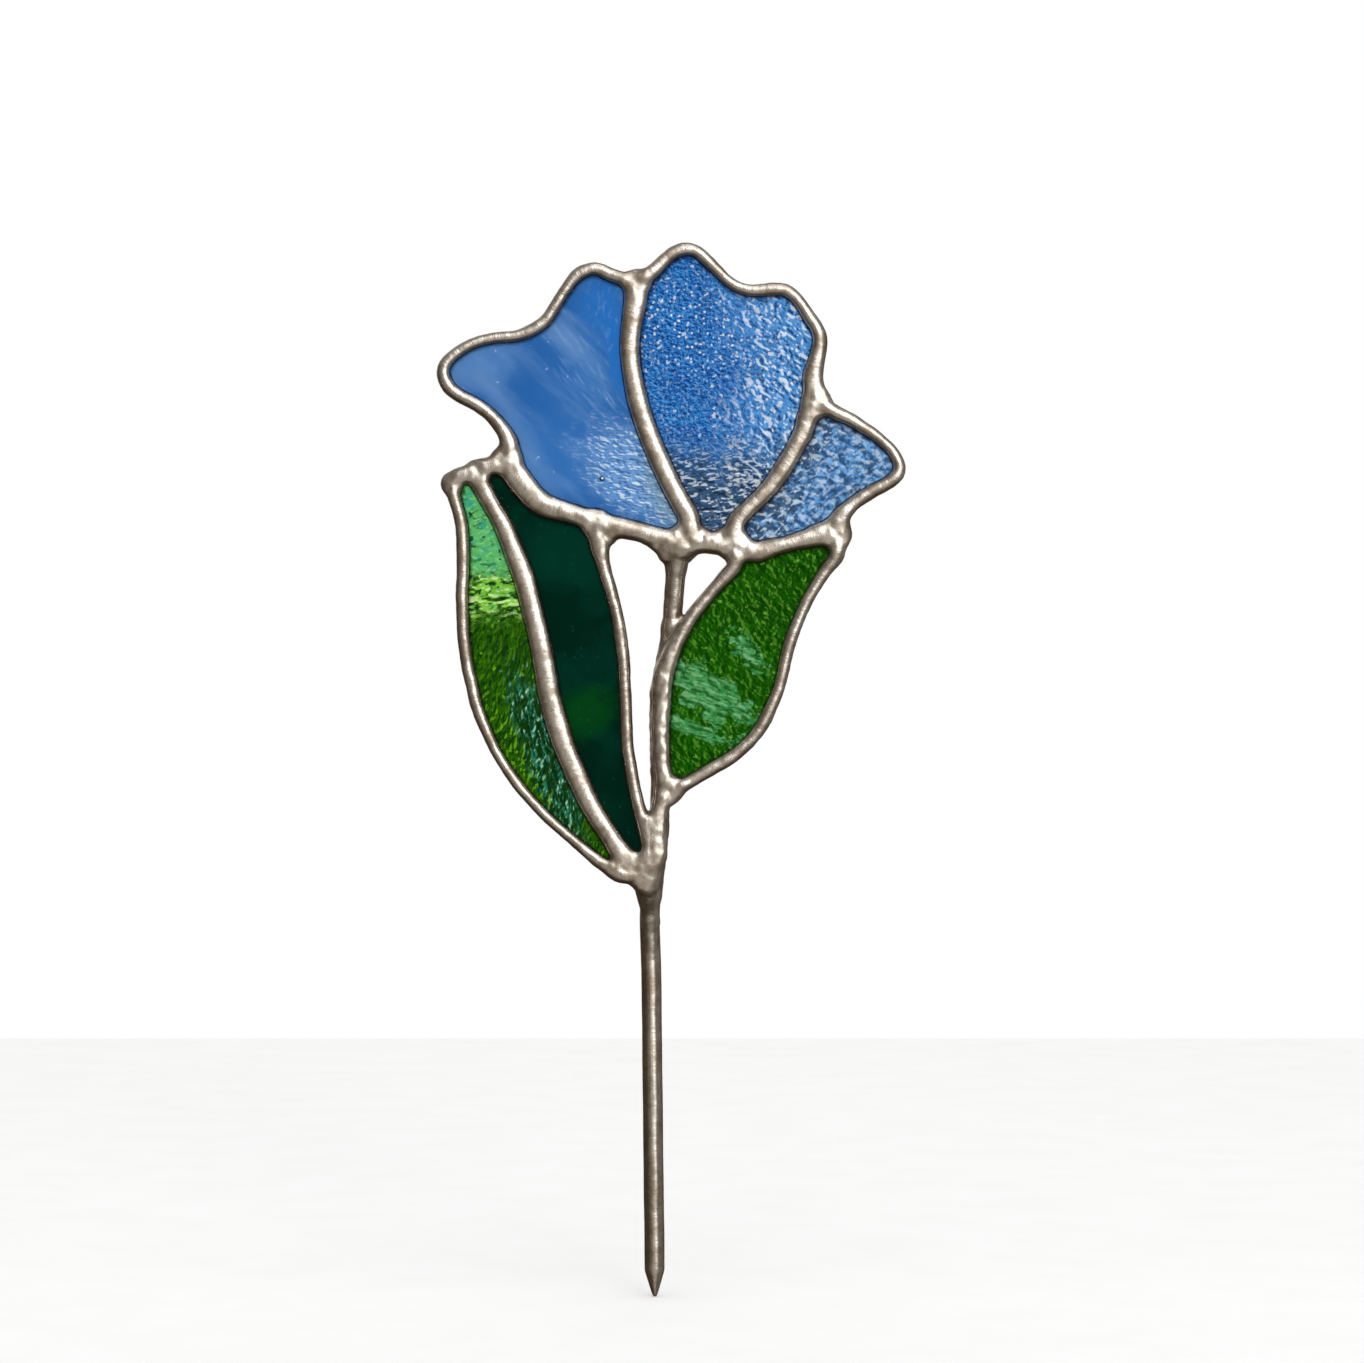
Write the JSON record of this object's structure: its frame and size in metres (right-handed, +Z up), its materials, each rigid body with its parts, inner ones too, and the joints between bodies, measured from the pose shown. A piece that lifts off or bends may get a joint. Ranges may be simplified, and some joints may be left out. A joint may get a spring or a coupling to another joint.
{
  "type": "stained glass flower garden stake",
  "caption": "Flat flower of coloured glass petals and leaves in rounded silver solder seams, on a pointed metal rod that is pushed into the soil of a pot or bed.",
  "frame": {"origin": "the rod's pointed lower tip", "axes": "+Z up along the rod; the flower's front faces -Y; +X to the right as seen from the front"},
  "size_m": [0.0935, 0.0091, 0.2111],
  "materials": {
    "glass_petal_left": "translucent wispy mid blue cathedral glass, glossy",
    "glass_petal_middle": "translucent hammered cobalt blue cathedral glass, glossy",
    "glass_petal_right": "translucent hammered steel blue cathedral glass, glossy",
    "glass_leaf_left_outer": "translucent streaky mint, lime and grass green glass, glossy",
    "glass_leaf_left_inner": "very dark teal green glass, smooth and glossy",
    "glass_leaf_right": "translucent grass green glass with sea-green wisps, glossy",
    "copper_foil": "copper tape darkened black-brown at its showing edge",
    "solder": "polished silver solder, rippled, with small pits",
    "tinned_rod": "solder-tinned wire, satin with fine ripples"
  },
  "bodies": {
    "root": {"glass_petal_left": "glass_petal_left", "foil_petal_left": "copper_foil", "glass_petal_middle": "glass_petal_middle", "foil_petal_middle": "copper_foil", "glass_petal_right": "glass_petal_right", "foil_petal_right": "copper_foil", "glass_leaf_left_outer": "glass_leaf_left_outer", "foil_leaf_left_outer": "copper_foil", "glass_leaf_left_inner": "glass_leaf_left_inner", "foil_leaf_left_inner": "copper_foil", "glass_leaf_right": "glass_leaf_right", "foil_leaf_right": "copper_foil", "solder_seams": "solder", "stake_rod": "tinned_rod"}
  },
  "joints": []
}
